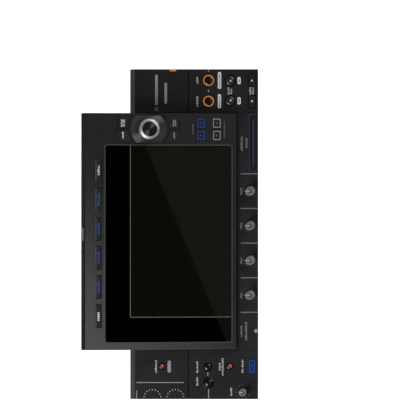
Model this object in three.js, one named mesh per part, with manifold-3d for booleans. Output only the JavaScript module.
// Desktop music control console with a tilted touch display, built as an assembly of separate pieces.
// Units are millimetres. X runs to the player's right, Y to the rear, Z up from the table.
// The origin is under the middle of the whole object, at table height.
import * as THREE from "three";
import { mergeVertices } from "three/addons/utils/BufferGeometryUtils.js";
import Module from "manifold-3d";

const wasm = await Module();
wasm.setup();

// ---------------------------------------------------------------- driving dimensions

const BASE = { left: -195.3, right: 195.3, front: -104.4, rear: 47.2 };
const WALL = 2.5;
const GAP = 0.3; // left between pieces that fit into each other
const KEY_GAP = 0.4; // between a key or knob and the edge of its hole
const ROUND_STEPS = 24; // sides of a round piece or hole
const CORNER_STEPS = 4; // sides of a rounded corner

const FOOT = { radius: 10, height: 6, fromSide: 24, fromFront: 20, fromRear: 19 };
const SEAM_Z = 40; // the bottom tray meets the upper shell
const DECK_Z = 64; // top of the upper shell, where the panels lie
const DECK_UNDERSIDE_Z = 55.5;
const PANEL_THICKNESS = 2;
const TOP_Z = DECK_Z + PANEL_THICKNESS;
const RIM = { front: 41.3, edgeZ: 61 }; // bevelled strip along the rear of the shell
const BOARD_THICKNESS = 1.6;
const CONTROL_BOARD_TOP_Z = 54.6;

const GROOVE_Y = -21.8; // between the rear and front panel of each deck
const GROOVE_WIDTH = 0.8;
const MIXER_REAR_Y = -79;

const POD = { left: -136.3, right: 142.8, front: -78.5, rear: 104.4, frontZ: 70, wall: 2 };
const POD_TILT = THREE.MathUtils.degToRad(8);
const POD_FLOOR_Z = 58; // flat underside, resting on the shell
const COVER = { length: 179.5, thickness: 3 };
const POD_CLEARANCE = 0.5; // round the display housing, where it passes between the panels
const PANEL_SEAM = 0.4; // between the mixer panel and the panels of the decks

const WINDOW = { left: -127.4, right: 105, front: 5.4, rear: 155.9, corner: 3 }; // in the cover's own plane
const GLASS_THICKNESS = 1.5;
const FILM = { thickness: 0.3, bare: 29.3 }; // leaves a bare strip of glass at its rear and its left
const LEDGE = 3; // the cover's rebate that carries the glass

const SELECTOR = { x: 124, v: 104.6, knobRadius: 12, knobTop: 13, dishRadius: 21.3, shaftRadius: 3 };
const SELECTOR_STRIP = 16.3; // half width of the dish and of the keys round it
const ARC_KEY = { inner: 24.6, outer: 37.4, near: 0.9, far: 15.9, proud: 0.5 };

const DISPLAY_KEY = { width: 27.4, depth: 7.2, proud: 0.5, v: 163.9, pitch: 34.3, firstX: -96.2, count: 6 };
const SQUARE_KEY = { width: 11.1, depth: 9.4, proud: 0.8, xs: [116.7, 131.3], vs: [23.4, 42.2] };

const TRIM = { firstX: -72, pitch: 41, count: 4, y: -94.6, skirtRadius: 7, capRadius: 5.7, height: 11 };
const JOG_KNOB = { x: -187, y: -86, skirtRadius: 5.6, capRadius: 4.8, height: 9 };
const KNOB_SHAFT_RADIUS = 2;
const POT_SIZE = 9;
const POT_TOP_Z = 62;
const POT_BORE_DEPTH = 6;

const TOUCH_STRIP = { left: 76, right: 140, front: -102.6, rear: -95, thickness: 1.6, proud: 0.4 };

const KEY_TRAVEL = 1.2; // of the keys on the decks
const DISPLAY_KEY_TRAVEL = 1; // of the keys on the display cover
const FLANGE_OVERLAP = 1.2; // how far a key's flange reaches past its cap, under the panel
const FLANGE_THICKNESS = 1.4;

// Round buttons on the decks: centre, radius, how far they stand above the panel, height of the dome.
const ROUND_BUTTONS = [
  { name: "loop_button_left", x: 157.4, y: -45.7, radius: 6.5, proud: 2.6, dome: 0.9, finish: "gloss" },
  { name: "loop_button_right", x: 182, y: -45.7, radius: 6.5, proud: 2.6, dome: 0.9, finish: "gloss" },
  { name: "beat_button_left", x: 157.9, y: -71.2, radius: 5.5, proud: 3, dome: 1.8, finish: "gloss" },
  { name: "beat_button_right", x: 181.8, y: -71.2, radius: 5.5, proud: 3, dome: 1.8, finish: "gloss" },
  { name: "memory_button", x: -157.2, y: -44.8, radius: 4.3, proud: 2.6, dome: 1.6, finish: "gloss" },
  { name: "delete_button", x: -176.1, y: -45.7, radius: 4.4, proud: 2.6, dome: 1.6, finish: "gloss" },
  { name: "lit_button_front", x: -156.8, y: -70.4, radius: 3.3, proud: 1.6, dome: 1, finish: "redLit" },
  { name: "lit_button_rear", x: -156.6, y: 9.9, radius: 3.1, proud: 1.6, dome: 1, finish: "redLit" },
];

// Rectangular keys on the decks.
const DECK_KEYS = [
  { name: "jump_key_left", x: 157.1, y: -97, width: 13.9, depth: 7.9, proud: 1.6, finish: "key" },
  { name: "jump_key_right", x: 182.1, y: -97, width: 13.9, depth: 7.9, proud: 1.6, finish: "key" },
  { name: "mode_key", x: -156.6, y: -97.2, width: 15.4, depth: 8, proud: 1.6, finish: "blueLit" },
];

// Edges of the boards under the decks and the mixer.
const CONTROL_BOARD = {
  leftInner: -143, leftRear: 18,
  rightInner: 146, rightRear: -27,
  mixerLeft: -112, mixerRight: 74, mixerRear: -85,
};
const DISPLAY_BOARD = { top: -8, front: 9, rear: 174, innerX: 106, innerV: 158 }; // an L beside the glass
const MAIN_BOARD = { left: -125, right: 150, front: -80, rear: 20, z: 14 };
const POWER_SUPPLY = { left: -188, right: -140, front: -72, rear: 18, top: 36 };
const INLET = { x: -165, z: 24, width: 28, height: 20, depth: 26, cavityWidth: 24, cavityHeight: 16 };
const INLET_CAVITY_DEPTH = 16;
const POWER_BUTTON = { x: -115, z: 24, radius: 5, proud: 1.8, flange: 1.5 };
const VENT = { groups: [-60, 80], pitch: 12, halfWidth: 2, front: -60, rear: 0 };
const CABLE = { left: 112, right: 132, thickness: 1, slotFront: -28, slotRear: -4, v: 60, endY: -10 };
const CABLE_SOCKET_HEIGHT = 4;

const FINISHES = {
  shell: { color: 0x39393b, roughness: 0.5, metalness: 0.1 },
  panel: { color: 0x232326, roughness: 0.45, metalness: 0.2 },
  cover: { color: 0x3c3c3c, roughness: 0.4, metalness: 0.3 },
  housing: { color: 0x1e1e20, roughness: 0.55, metalness: 0.1 },
  key: { color: 0x242426, roughness: 0.6, metalness: 0 },
  gloss: { color: 0x101012, roughness: 0.15, metalness: 0 },
  redLit: { color: 0xd0503c, roughness: 0.35, metalness: 0 },
  blueLit: { color: 0x1f4bb0, roughness: 0.35, metalness: 0 },
  knob: { color: 0x4a4a4c, roughness: 0.5, metalness: 0.1 },
  metal: { color: 0x9a9a9c, roughness: 0.3, metalness: 1 },
  glass: { color: 0x020202, roughness: 0.05, metalness: 0 },
  film: { color: 0x2c2a20, roughness: 0.1, metalness: 0 },
  board: { color: 0x14402a, roughness: 0.6, metalness: 0 },
  steel: { color: 0x8d9094, roughness: 0.4, metalness: 1 },
  rubber: { color: 0x161616, roughness: 0.9, metalness: 0 },
  ribbon: { color: 0xb8b8b4, roughness: 0.7, metalness: 0 },
};

// ---------------------------------------------------------------- shapes and solids

function box(x0, x1, y0, y1, z0, z1) {
  const geometry = new THREE.BoxGeometry(x1 - x0, y1 - y0, z1 - z0);
  return geometry.translate((x0 + x1) / 2, (y0 + y1) / 2, (z0 + z1) / 2);
}

// A block round a centre in plan, grown by a margin on its four sides.
function blockAt({ x, y, width, depth }, margin, z0, z1) {
  const halfWidth = width / 2 + margin;
  const halfDepth = depth / 2 + margin;
  return box(x - halfWidth, x + halfWidth, y - halfDepth, y + halfDepth, z0, z1);
}

function roundedRectangle(x0, x1, y0, y1, corner) {
  const shape = new THREE.Shape();
  shape.moveTo(x0 + corner, y0);
  shape.absarc(x1 - corner, y0 + corner, corner, -Math.PI / 2, 0);
  shape.absarc(x1 - corner, y1 - corner, corner, 0, Math.PI / 2);
  shape.absarc(x0 + corner, y1 - corner, corner, Math.PI / 2, Math.PI);
  shape.absarc(x0 + corner, y0 + corner, corner, Math.PI, (3 * Math.PI) / 2);
  return shape;
}

// An outline in plan, drawn up from z0 to z1.
function upright(shape, z0, z1) {
  const settings = { depth: z1 - z0, bevelEnabled: false, curveSegments: CORNER_STEPS };
  return new THREE.ExtrudeGeometry(shape, settings).translate(0, 0, z0);
}

// A side profile of [y, z] points, stretched along X.
function alongX(profile, x0, x1) {
  const shape = new THREE.Shape(profile.map(([y, z]) => new THREE.Vector2(y, z)));
  const geometry = new THREE.ExtrudeGeometry(shape, { depth: x1 - x0, bevelEnabled: false });
  const axes = new THREE.Matrix4().makeBasis(
    new THREE.Vector3(0, 1, 0),
    new THREE.Vector3(0, 0, 1),
    new THREE.Vector3(1, 0, 0),
  );
  return geometry.applyMatrix4(axes).translate(x0, 0, 0);
}

// A profile of [radius, z] points, turned about the Z axis.
function turned(profile, x = 0, y = 0, steps = ROUND_STEPS) {
  const points = profile.map(([radius, z]) => new THREE.Vector2(radius, z));
  return new THREE.LatheGeometry(points, steps).rotateX(Math.PI / 2).translate(x, y, 0);
}

function cylinder(x, y, radius, z0, z1, steps = ROUND_STEPS) {
  return turned([[0, z0], [radius, z0], [radius, z1], [0, z1]], x, y, steps);
}

function solidOf(geometry) {
  const bare = geometry.clone();
  bare.deleteAttribute("normal");
  bare.deleteAttribute("uv");
  const merged = mergeVertices(bare, 1e-4);
  const mesh = new wasm.Mesh({
    numProp: 3,
    vertProperties: new Float32Array(merged.attributes.position.array),
    triVerts: new Uint32Array(merged.index.array),
  });
  return new wasm.Manifold(mesh);
}

function geometryOf(solid) {
  const mesh = solid.getMesh();
  const geometry = new THREE.BufferGeometry();
  geometry.setAttribute("position", new THREE.BufferAttribute(mesh.vertProperties, 3));
  geometry.setIndex(new THREE.BufferAttribute(mesh.triVerts, 1));
  geometry.computeVertexNormals();
  return geometry;
}

function joined(body, additions) {
  return geometryOf(additions.reduce((solid, next) => solid.add(solidOf(next)), solidOf(body)));
}

function cut(body, tools) {
  return geometryOf(tools.reduce((solid, tool) => solid.subtract(solidOf(tool)), solidOf(body)));
}

function common(body, other) {
  return geometryOf(solidOf(body).intersect(solidOf(other)));
}

// ---------------------------------------------------------------- the assembly

const assembly = new THREE.Group();

// Everything on the display is placed in the cover's own plane: x, v up the slope, w out of the surface.
const display = new THREE.Group();
display.position.set(0, POD.front, POD.frontZ);
display.rotation.x = POD_TILT;
assembly.add(display);

function addPiece(group, name, geometry, finish) {
  const mesh = new THREE.Mesh(geometry, new THREE.MeshStandardMaterial(FINISHES[finish]));
  mesh.name = name;
  group.add(mesh);
}

// A point of the display's plane as [y, z] of the whole object.
function displayPoint(v, w) {
  const y = POD.front + v * Math.cos(POD_TILT) - w * Math.sin(POD_TILT);
  const z = POD.frontZ + v * Math.sin(POD_TILT) + w * Math.cos(POD_TILT);
  return [y, z];
}

// ---------------------------------------------------------------- keys, buttons and knobs

// A rectangular key: a cap that passes through the panel, with an ear under the panel at each end.
function rectangularKey(key, top, panelUnderside, bottom) {
  const eared = { ...key, width: key.width + 2 * FLANGE_OVERLAP };
  const ears = blockAt(eared, 0, panelUnderside - GAP - FLANGE_THICKNESS, panelUnderside - GAP);
  return joined(blockAt(key, 0, bottom, top), [ears]);
}

// A round button with a domed top and a flange under the panel.
function roundButton(button, top, panelUnderside, bottom) {
  const flange = button.radius + FLANGE_OVERLAP;
  const flangeTop = panelUnderside - GAP;
  const profile = [
    [0, bottom],
    [button.radius - 1, bottom],
    [button.radius - 1, flangeTop - FLANGE_THICKNESS],
    [flange, flangeTop - FLANGE_THICKNESS],
    [flange, flangeTop],
    [button.radius, flangeTop],
    [button.radius, top - button.dome],
    [button.radius * 0.87, top - button.dome * 0.5],
    [button.radius * 0.5, top - button.dome * 0.13],
    [0, top],
  ];
  return turned(profile, button.x, button.y);
}

// A knob with a skirt and a cap, on a shaft that goes down into its potentiometer.
function potKnob(x, y, knob) {
  const shaftBottom = POT_TOP_Z - POT_BORE_DEPTH + GAP;
  const bottom = TOP_Z + KEY_GAP;
  const top = TOP_Z + knob.height;
  const profile = [
    [0, shaftBottom],
    [KNOB_SHAFT_RADIUS, shaftBottom],
    [KNOB_SHAFT_RADIUS, bottom],
    [knob.skirtRadius, bottom],
    [knob.skirtRadius, bottom + 1.6],
    [knob.capRadius, bottom + 2.8],
    [knob.capRadius * 0.94, top - 0.8],
    [knob.capRadius * 0.82, top],
    [0, top],
  ];
  return turned(profile, x, y);
}

// A potentiometer's body on a board, with the bore that the knob's shaft turns in.
function potBody(x, y) {
  const half = POT_SIZE / 2;
  return box(x - half, x + half, y - half, y + half, CONTROL_BOARD_TOP_Z - BOARD_THICKNESS, POT_TOP_Z);
}

function potBore(x, y) {
  return cylinder(x, y, KNOB_SHAFT_RADIUS + GAP, POT_TOP_Z - POT_BORE_DEPTH, POT_TOP_Z + 1, 16);
}

// ---------------------------------------------------------------- base: feet, tray and upper shell

function footCentres() {
  const xs = [BASE.left + FOOT.fromSide, BASE.right - FOOT.fromSide];
  const ys = [BASE.front + FOOT.fromFront, BASE.rear - FOOT.fromRear];
  return ys.flatMap((y) => xs.map((x) => [x, y]));
}

function addFeet() {
  const names = ["foot_front_left", "foot_front_right", "foot_rear_left", "foot_rear_right"];
  const { radius, height } = FOOT;
  const profile = [[0, 0], [radius - 1, 0], [radius, 1.5], [radius, height], [0, height]];
  footCentres().forEach(([x, y], index) => {
    addPiece(assembly, names[index], turned(profile, x, y), "rubber");
  });
}

function boardPosts() {
  const inset = 8;
  const xs = [MAIN_BOARD.left + inset, MAIN_BOARD.right - inset];
  const ys = [MAIN_BOARD.front + inset, MAIN_BOARD.rear - inset];
  return ys.flatMap((y) => xs.map((x) => cylinder(x, y, 3.5, FOOT.height, MAIN_BOARD.z, 12)));
}

function floorVents() {
  const { groups, pitch, halfWidth, front, rear } = VENT;
  const rows = [-2, -1, 0, 1, 2];
  return groups.flatMap((centre) => rows.map((row) => {
    const x = centre + row * pitch;
    return box(x - halfWidth, x + halfWidth, front, rear, FOOT.height - 1, FOOT.height + WALL + 1);
  }));
}

function addBottomTray() {
  const floor = FOOT.height;
  const outer = box(BASE.left, BASE.right, BASE.front, BASE.rear, floor, SEAM_Z);
  const inner = box(
    BASE.left + WALL, BASE.right - WALL,
    BASE.front + WALL, BASE.rear - WALL,
    floor + WALL, SEAM_Z + 1,
  );
  const inletHole = box(
    INLET.x - INLET.width / 2 - GAP, INLET.x + INLET.width / 2 + GAP,
    BASE.rear - WALL - 1, BASE.rear + 1,
    INLET.z - INLET.height / 2 - GAP, INLET.z + INLET.height / 2 + GAP,
  );
  const buttonHole = powerCylinder(POWER_BUTTON.radius + KEY_GAP, BASE.rear - WALL - 1, BASE.rear + 1);
  const tray = joined(cut(outer, [inner]), boardPosts());
  addPiece(assembly, "bottom_tray", cut(tray, [inletHole, buttonHole, ...floorVents()]), "shell");
}

// Openings in the shell's top under the panels, with a bar left under each seam.
const DECK_OPENING = { leftInner: -142, rightInner: 148.5, rear: 37 };
const SEAM_BAR = 3; // half width
const PANEL_OPENINGS = [
  { x0: BASE.left + WALL, x1: DECK_OPENING.leftInner, y0: BASE.front + WALL, y1: GROOVE_Y - SEAM_BAR },
  { x0: BASE.left + WALL, x1: DECK_OPENING.leftInner, y0: GROOVE_Y + SEAM_BAR, y1: DECK_OPENING.rear },
  { x0: DECK_OPENING.rightInner, x1: BASE.right - WALL, y0: BASE.front + WALL, y1: GROOVE_Y - SEAM_BAR },
  { x0: DECK_OPENING.rightInner, x1: BASE.right - WALL, y0: GROOVE_Y + SEAM_BAR, y1: DECK_OPENING.rear },
  { x0: -131, x1: 138, y0: BASE.front + WALL, y1: -84 },
];

function cableSlot(z0, z1) {
  return box(CABLE.left - 2, CABLE.right + 2, CABLE.slotFront, CABLE.slotRear, z0, z1);
}

function addUpperShell() {
  const profile = [
    [BASE.front, SEAM_Z],
    [BASE.rear, SEAM_Z],
    [BASE.rear, RIM.edgeZ],
    [RIM.front, TOP_Z],
    [RIM.front, DECK_Z],
    [BASE.front, DECK_Z],
  ];
  const cavity = box(
    BASE.left + WALL, BASE.right - WALL,
    BASE.front + WALL, BASE.rear - WALL,
    SEAM_Z - 1, DECK_UNDERSIDE_Z,
  );
  const openings = PANEL_OPENINGS.map(({ x0, x1, y0, y1 }) => (
    box(x0, x1, y0, y1, DECK_UNDERSIDE_Z - 1, DECK_Z + 1)
  ));
  const housingPocket = box(
    POD.left - POD_CLEARANCE, POD.right + POD_CLEARANCE,
    MIXER_REAR_Y, RIM.front - GAP,
    POD_FLOOR_Z, TOP_Z + 1,
  );
  const slot = cableSlot(DECK_UNDERSIDE_Z - 1, POD_FLOOR_Z + 1);
  const shell = cut(alongX(profile, BASE.left, BASE.right), [cavity, ...openings, housingPocket, slot]);
  addPiece(assembly, "upper_shell", shell, "shell");
}

// ---------------------------------------------------------------- top panels

function panelHole(x, y, radius) {
  return cylinder(x, y, radius, DECK_Z - 1, TOP_Z + 1);
}

function buttonHoles(x0, x1, y0, y1) {
  const inside = ({ x, y }) => x > x0 && x < x1 && y > y0 && y < y1;
  const round = ROUND_BUTTONS.filter(inside).map(({ x, y, radius }) => panelHole(x, y, radius + KEY_GAP));
  const keys = DECK_KEYS.filter(inside).map((key) => blockAt(key, KEY_GAP, DECK_Z - 1, TOP_Z + 1));
  return [...round, ...keys];
}

function addDeckPanels() {
  const inner = POD.left - POD_CLEARANCE - PANEL_SEAM;
  const outer = POD.right + POD_CLEARANCE + PANEL_SEAM;
  const frontEdge = GROOVE_Y - GROOVE_WIDTH / 2;
  const rearEdge = GROOVE_Y + GROOVE_WIDTH / 2;
  const panelRear = RIM.front - GAP;
  const jogHole = panelHole(JOG_KNOB.x, JOG_KNOB.y, KNOB_SHAFT_RADIUS + 1);
  const areas = [
    ["left_rear_panel", BASE.left, inner, rearEdge, panelRear, []],
    ["left_front_panel", BASE.left, inner, BASE.front, frontEdge, [jogHole]],
    ["right_rear_panel", outer, BASE.right, rearEdge, panelRear, []],
    ["right_front_panel", outer, BASE.right, BASE.front, frontEdge, []],
  ];
  for (const [name, x0, x1, y0, y1, extraHoles] of areas) {
    const plate = box(x0, x1, y0, y1, DECK_Z, TOP_Z);
    addPiece(assembly, name, cut(plate, [...buttonHoles(x0, x1, y0, y1), ...extraHoles]), "panel");
  }
}

function trimCentres() {
  return Array.from({ length: TRIM.count }, (_, index) => TRIM.firstX + index * TRIM.pitch);
}

function addMixerPanel() {
  const left = POD.left - POD_CLEARANCE;
  const right = POD.right + POD_CLEARANCE;
  const plate = box(left, right, BASE.front, MIXER_REAR_Y, DECK_Z, TOP_Z);
  const shaftHoles = trimCentres().map((x) => panelHole(x, TRIM.y, KNOB_SHAFT_RADIUS + 1));
  const stripBottom = TOP_Z + TOUCH_STRIP.proud - TOUCH_STRIP.thickness;
  const pocket = box(
    TOUCH_STRIP.left - GAP, TOUCH_STRIP.right + GAP,
    TOUCH_STRIP.front - GAP, TOUCH_STRIP.rear + GAP,
    stripBottom, TOP_Z + 1,
  );
  addPiece(assembly, "mixer_panel", cut(plate, [...shaftHoles, pocket]), "panel");
  const strip = box(
    TOUCH_STRIP.left, TOUCH_STRIP.right,
    TOUCH_STRIP.front, TOUCH_STRIP.rear,
    stripBottom, TOP_Z + TOUCH_STRIP.proud,
  );
  addPiece(assembly, "touch_strip", strip, "gloss");
}

// ---------------------------------------------------------------- controls on the decks and the mixer

function addDeckControls() {
  const bottom = CONTROL_BOARD_TOP_Z + KEY_TRAVEL + GAP;
  for (const button of ROUND_BUTTONS) {
    const geometry = roundButton(button, TOP_Z + button.proud, DECK_Z, bottom);
    addPiece(assembly, button.name, geometry, button.finish);
  }
  for (const key of DECK_KEYS) {
    addPiece(assembly, key.name, rectangularKey(key, TOP_Z + key.proud, DECK_Z, bottom), key.finish);
  }
  trimCentres().forEach((x, index) => {
    addPiece(assembly, `trim_knob_${index + 1}`, potKnob(x, TRIM.y, TRIM), "knob");
  });
  addPiece(assembly, "jog_adjust_knob", potKnob(JOG_KNOB.x, JOG_KNOB.y, JOG_KNOB), "knob");
}

function addControlBoards() {
  const bottom = CONTROL_BOARD_TOP_Z - BOARD_THICKNESS;
  const front = BASE.front + WALL + 1;
  const { leftInner, leftRear, rightInner, rightRear, mixerLeft, mixerRight, mixerRear } = CONTROL_BOARD;
  const sideGap = WALL + KEY_GAP;
  const left = box(BASE.left + sideGap, leftInner, front, leftRear, bottom, CONTROL_BOARD_TOP_Z);
  const withPot = joined(left, [potBody(JOG_KNOB.x, JOG_KNOB.y)]);
  addPiece(assembly, "left_control_board", cut(withPot, [potBore(JOG_KNOB.x, JOG_KNOB.y)]), "board");
  const right = box(rightInner, BASE.right - sideGap, front, rightRear, bottom, CONTROL_BOARD_TOP_Z);
  addPiece(assembly, "right_control_board", right, "board");
  const mixer = box(mixerLeft, mixerRight, front, mixerRear, bottom, CONTROL_BOARD_TOP_Z);
  const pots = trimCentres().map((x) => potBody(x, TRIM.y));
  const bores = trimCentres().map((x) => potBore(x, TRIM.y));
  addPiece(assembly, "mixer_board", cut(joined(mixer, pots), bores), "board");
}

// ---------------------------------------------------------------- display housing

// The wedge under the display: it stands on the shell and hangs over the rear of the base.
function addDisplayBack() {
  const underCover = -COVER.thickness - GAP;
  const lipStart = COVER.length + GAP;
  const floorEnd = 40.8;
  const overRimZ = 67;
  const rearLowZ = 80;
  const rearHighZ = 88;
  const outer = [
    [POD.front, POD_FLOOR_Z],
    [floorEnd, POD_FLOOR_Z],
    [floorEnd, overRimZ],
    [POD.rear, rearLowZ],
    [POD.rear, rearHighZ],
    displayPoint(lipStart, -GAP),
    displayPoint(lipStart, underCover),
    displayPoint(GAP, underCover),
    [POD.front, displayPoint(0, underCover)[1]],
  ];
  const rearInside = 97;
  const slope = (rearLowZ - overRimZ) / (POD.rear - floorEnd);
  const undersideInside = overRimZ + WALL;
  const inner = [
    [POD.front + WALL, POD_FLOOR_Z + WALL],
    [floorEnd - WALL, POD_FLOOR_Z + WALL],
    [floorEnd - WALL, undersideInside],
    [rearInside, undersideInside + slope * (rearInside - floorEnd + WALL)],
    [rearInside, 2 * POD.rear],
    [POD.front + WALL, 2 * POD.rear],
  ];
  const hollow = alongX(inner, POD.left + POD.wall, POD.right - POD.wall);
  const slot = cableSlot(POD_FLOOR_Z - 1, POD_FLOOR_Z + WALL + 1);
  addPiece(assembly, "display_back", cut(alongX(outer, POD.left, POD.right), [hollow, slot]), "housing");
}

function arcPoints(radius, from, to, steps) {
  return Array.from({ length: steps + 1 }, (_, index) => {
    const angle = from + ((to - from) * index) / steps;
    return new THREE.Vector2(radius * Math.sin(angle), radius * Math.cos(angle));
  });
}

// Outline of one key beside the dish. sideX and sideV are 1 or -1 and choose the quarter it lies in.
function arcKeyOutline(sideX, sideV, margin, radialMargin) {
  const inner = ARC_KEY.inner - radialMargin;
  const outer = ARC_KEY.outer + radialMargin;
  const near = ARC_KEY.near - margin;
  const far = ARC_KEY.far + margin;
  const steps = 6;
  const outerArc = arcPoints(outer, Math.asin(near / outer), Math.asin(far / outer), steps);
  const innerArc = arcPoints(inner, Math.asin(far / inner), Math.asin(near / inner), steps);
  const points = [...outerArc, ...innerArc].map(({ x, y }) => (
    new THREE.Vector2(SELECTOR.x + sideX * x, SELECTOR.v + sideV * y)
  ));
  return new THREE.Shape(points);
}

const ARC_KEYS = [
  { name: "selector_key_rear_left", sideX: -1, sideV: 1 },
  { name: "selector_key_rear_right", sideX: 1, sideV: 1 },
  { name: "selector_key_front_left", sideX: -1, sideV: -1 },
  { name: "selector_key_front_right", sideX: 1, sideV: -1 },
];

// The dish's outline: a circle cut by two straight lines, left and right of the selector.
function dishOutline(margin) {
  const radius = SELECTOR.dishRadius + margin;
  const half = SELECTOR_STRIP + margin;
  const limit = Math.asin(half / radius);
  const rearArc = arcPoints(radius, -limit, limit, 10);
  const frontArc = rearArc.map(({ x, y }) => new THREE.Vector2(-x, -y));
  const points = [...rearArc, ...frontArc].map(({ x, y }) => (
    new THREE.Vector2(SELECTOR.x + x, SELECTOR.v + y)
  ));
  return new THREE.Shape(points);
}

function displayKeyCentres() {
  return Array.from({ length: DISPLAY_KEY.count }, (_, index) => (
    DISPLAY_KEY.firstX + index * DISPLAY_KEY.pitch
  ));
}

function displayKeys() {
  const { v, width, depth, proud } = DISPLAY_KEY;
  return displayKeyCentres().map((x, index) => ({
    name: `display_key_${index + 1}`, x, y: v, width, depth, proud,
  }));
}

function squareKeys() {
  const { width, depth, proud, xs, vs } = SQUARE_KEY;
  const rows = ["front", "rear"];
  const columns = ["left", "right"];
  return vs.flatMap((v, row) => xs.map((x, column) => ({
    name: `square_key_${rows[row]}_${columns[column]}`, x, y: v, width, depth, proud,
  })));
}

function addDisplayCover() {
  const { left, right, front, rear, corner } = WINDOW;
  const underside = -COVER.thickness;
  const plate = box(POD.left, POD.right, 0, COVER.length, underside, 0);
  const opening = box(left + LEDGE, right - LEDGE, front + LEDGE, rear - LEDGE, underside - 1, 1);
  const rebateDepth = FILM.thickness + GLASS_THICKNESS + 2 * GAP;
  const rebate = upright(roundedRectangle(left, right, front, rear, corner), -rebateDepth, 1);
  const keyHoles = [...displayKeys(), ...squareKeys()].map((key) => (
    blockAt(key, KEY_GAP, underside - 1, 1)
  ));
  const arcHoles = ARC_KEYS.map(({ sideX, sideV }) => (
    upright(arcKeyOutline(sideX, sideV, KEY_GAP, KEY_GAP), underside - 1, 1)
  ));
  const dishHole = upright(dishOutline(GAP), underside - 1, 1);
  const cover = cut(plate, [opening, rebate, ...keyHoles, ...arcHoles, dishHole]);
  addPiece(display, "display_cover", cover, "cover");
}

function addGlassAndPanel() {
  const { left, right, front, rear, corner } = WINDOW;
  const outline = roundedRectangle(left + GAP, right - GAP, front + GAP, rear - GAP, corner - GAP);
  const filmOutline = roundedRectangle(
    left + FILM.bare, right - GAP,
    front + GAP, rear - FILM.bare,
    corner - GAP,
  );
  const glassTop = -FILM.thickness - GAP;
  const glassBottom = glassTop - GLASS_THICKNESS;
  const lcdTop = glassBottom - GAP;
  addPiece(display, "screen_protector", upright(filmOutline, -FILM.thickness, 0), "film");
  addPiece(display, "cover_glass", upright(outline, glassBottom, glassTop), "glass");
  const inset = LEDGE + GAP;
  const lcd = box(left + inset, right - inset, front + inset, rear - inset, lcdTop - 5, lcdTop);
  addPiece(display, "lcd_panel", lcd, "steel");
}

function addDisplayBoard() {
  const { top, front, rear, innerX, innerV } = DISPLAY_BOARD;
  const right = POD.right - POD.wall - KEY_GAP;
  const left = POD.left + POD.wall + 8;
  const shape = new THREE.Shape([
    new THREE.Vector2(innerX, front),
    new THREE.Vector2(right, front),
    new THREE.Vector2(right, rear),
    new THREE.Vector2(left, rear),
    new THREE.Vector2(left, innerV),
    new THREE.Vector2(innerX, innerV),
  ]);
  const board = upright(shape, top - BOARD_THICKNESS, top);
  addPiece(display, "display_board", board, "board");
}

function addDisplayKeys() {
  const bottom = DISPLAY_BOARD.top + DISPLAY_KEY_TRAVEL + GAP;
  const underside = -COVER.thickness;
  for (const key of [...displayKeys(), ...squareKeys()]) {
    addPiece(display, key.name, rectangularKey(key, key.proud, underside, bottom), "key");
  }
  const flangeTop = underside - GAP;
  for (const { name, sideX, sideV } of ARC_KEYS) {
    const cap = upright(arcKeyOutline(sideX, sideV, 0, 0), bottom, ARC_KEY.proud);
    const flangeOutline = arcKeyOutline(sideX, sideV, 0, FLANGE_OVERLAP);
    const flange = upright(flangeOutline, flangeTop - FLANGE_THICKNESS, flangeTop);
    addPiece(display, name, joined(cap, [flange]), "key");
  }
}

// ---------------------------------------------------------------- rotary selector

// The dish is a shallow cone, lowest at its middle.
function selectorDish() {
  const { x, v, dishRadius, shaftRadius } = SELECTOR;
  const bore = shaftRadius + 1;
  const blankRadius = dishRadius + 1;
  const bottom = GAP - COVER.thickness;
  const blank = turned([
    [bore, bottom],
    [blankRadius, bottom],
    [blankRadius, -0.3],
    [dishRadius * 0.75, -0.9],
    [dishRadius * 0.5, -1.4],
    [bore, -1.7],
    [bore, bottom],
  ], x, v);
  return common(blank, upright(dishOutline(0), -COVER.thickness - 1, 1));
}

// A broad chamfer round a hollowed top, on a blind bore for the shaft.
function selectorKnob(shaftTop) {
  const { x, v, knobRadius, knobTop, shaftRadius } = SELECTOR;
  const bore = shaftRadius + GAP;
  const boreTop = shaftTop + GAP;
  const bottom = 0.6;
  const chamfer = 2.6;
  return turned([
    [0, boreTop],
    [bore, boreTop],
    [bore, bottom],
    [knobRadius, bottom],
    [knobRadius, knobTop - chamfer],
    [knobRadius - chamfer, knobTop],
    [knobRadius - chamfer - 1, knobTop - 1],
    [0, knobTop - 1.8],
  ], x, v);
}

function addSelector() {
  const { x, v, shaftRadius } = SELECTOR;
  addPiece(display, "selector_dish", selectorDish(), "metal");

  const halfSize = 6;
  const encoderBottom = DISPLAY_BOARD.top + GAP;
  const encoderTop = -COVER.thickness;
  const block = box(x - halfSize, x + halfSize, v - halfSize, v + halfSize, encoderBottom, encoderTop);
  const boreBottom = DISPLAY_BOARD.top + 1;
  const bore = cylinder(x, v, shaftRadius + GAP, boreBottom, encoderTop + 1);
  addPiece(display, "encoder_body", cut(block, [bore]), "steel");

  const shaftBottom = boreBottom + 1.2; // clear of the bore's end when the selector is pressed
  const shaftTop = 8.6;
  addPiece(display, "encoder_shaft", cylinder(x, v, shaftRadius, shaftBottom, shaftTop), "steel");
  addPiece(display, "selector_knob", selectorKnob(shaftTop), "metal");
}

// ---------------------------------------------------------------- inside the base and at its rear

function addMainBoard() {
  const { left, right, front, rear, z } = MAIN_BOARD;
  const top = z + BOARD_THICKNESS;
  const board = box(left, right, front, rear, z, top);
  const processor = box(-40, -8, -50, -18, z, top + 3);
  const memory = box(10, 34, -44, -24, z, top + 2);
  const converter = box(60, 76, -60, -20, z, top + 8);
  const capacitors = box(-100, -80, -60, -30, z, top + 12);
  const cableSocket = box(
    CABLE.left - 2, CABLE.right + 2,
    CABLE.endY - 3, CABLE.endY + 3,
    z, top + CABLE_SOCKET_HEIGHT,
  );
  const fitted = joined(board, [processor, memory, converter, capacitors, cableSocket]);
  addPiece(assembly, "main_board", fitted, "board");
}

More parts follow.
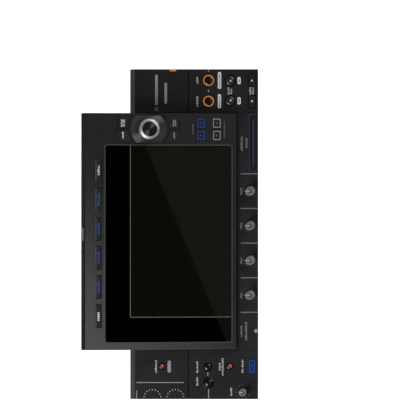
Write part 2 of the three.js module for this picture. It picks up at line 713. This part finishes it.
function addPowerSupply() {
  const { left, right, front, rear, top } = POWER_SUPPLY;
  addPiece(assembly, "power_supply", box(left, right, front, rear, FOOT.height + WALL, top), "steel");
}

// The flat ribbon from the display's board down to the main board.
function addRibbonCable() {
  const boardUnderside = DISPLAY_BOARD.top - BOARD_THICKNESS;
  const [startY, startZ] = displayPoint(CABLE.v, boardUnderside - GAP - CABLE.thickness / 2);
  const endZ = MAIN_BOARD.z + BOARD_THICKNESS + CABLE_SOCKET_HEIGHT + GAP;
  const bend = 22; // how far the ribbon runs straight from each end
  const curve = new THREE.CubicBezierCurve(
    new THREE.Vector2(startY, startZ),
    new THREE.Vector2(startY, startZ - bend),
    new THREE.Vector2(CABLE.endY, endZ + bend),
    new THREE.Vector2(CABLE.endY, endZ),
  );
  const steps = 10;
  const side = (sign) => Array.from({ length: steps + 1 }, (_, index) => {
    const point = curve.getPoint(index / steps);
    const along = curve.getTangent(index / steps);
    const offset = (sign * CABLE.thickness) / 2;
    return [point.x - along.y * offset, point.y + along.x * offset];
  });
  const outline = [...side(1), ...side(-1).reverse()];
  addPiece(assembly, "ribbon_cable", alongX(outline, CABLE.left, CABLE.right), "ribbon");
}

// A cylinder along Y at the power button's place.
function powerCylinder(radius, y0, y1) {
  const geometry = cylinder(0, 0, radius, y0, y1).rotateX(-Math.PI / 2);
  return geometry.translate(POWER_BUTTON.x, 0, POWER_BUTTON.z);
}

function addRearFittings() {
  const halfWidth = INLET.width / 2;
  const halfHeight = INLET.height / 2;
  const body = box(
    INLET.x - halfWidth, INLET.x + halfWidth,
    BASE.rear - INLET.depth, BASE.rear,
    INLET.z - halfHeight, INLET.z + halfHeight,
  );
  const cavity = box(
    INLET.x - INLET.cavityWidth / 2, INLET.x + INLET.cavityWidth / 2,
    BASE.rear - INLET_CAVITY_DEPTH, BASE.rear + 1,
    INLET.z - INLET.cavityHeight / 2, INLET.z + INLET.cavityHeight / 2,
  );
  addPiece(assembly, "power_inlet", cut(body, [cavity]), "housing");

  const { radius, proud, flange } = POWER_BUTTON;
  const flangeRear = BASE.rear - WALL - GAP;
  const cap = powerCylinder(radius, flangeRear - 3, BASE.rear + proud);
  const ring = powerCylinder(radius + flange, flangeRear - 2, flangeRear);
  addPiece(assembly, "power_button", joined(cap, [ring]), "gloss");
}

addFeet();
addBottomTray();
addUpperShell();
addDeckPanels();
addMixerPanel();
addDeckControls();
addControlBoards();
addDisplayBack();
addDisplayCover();
addGlassAndPanel();
addDisplayBoard();
addDisplayKeys();
addSelector();
addMainBoard();
addPowerSupply();
addRibbonCable();
addRearFittings();

export default assembly;
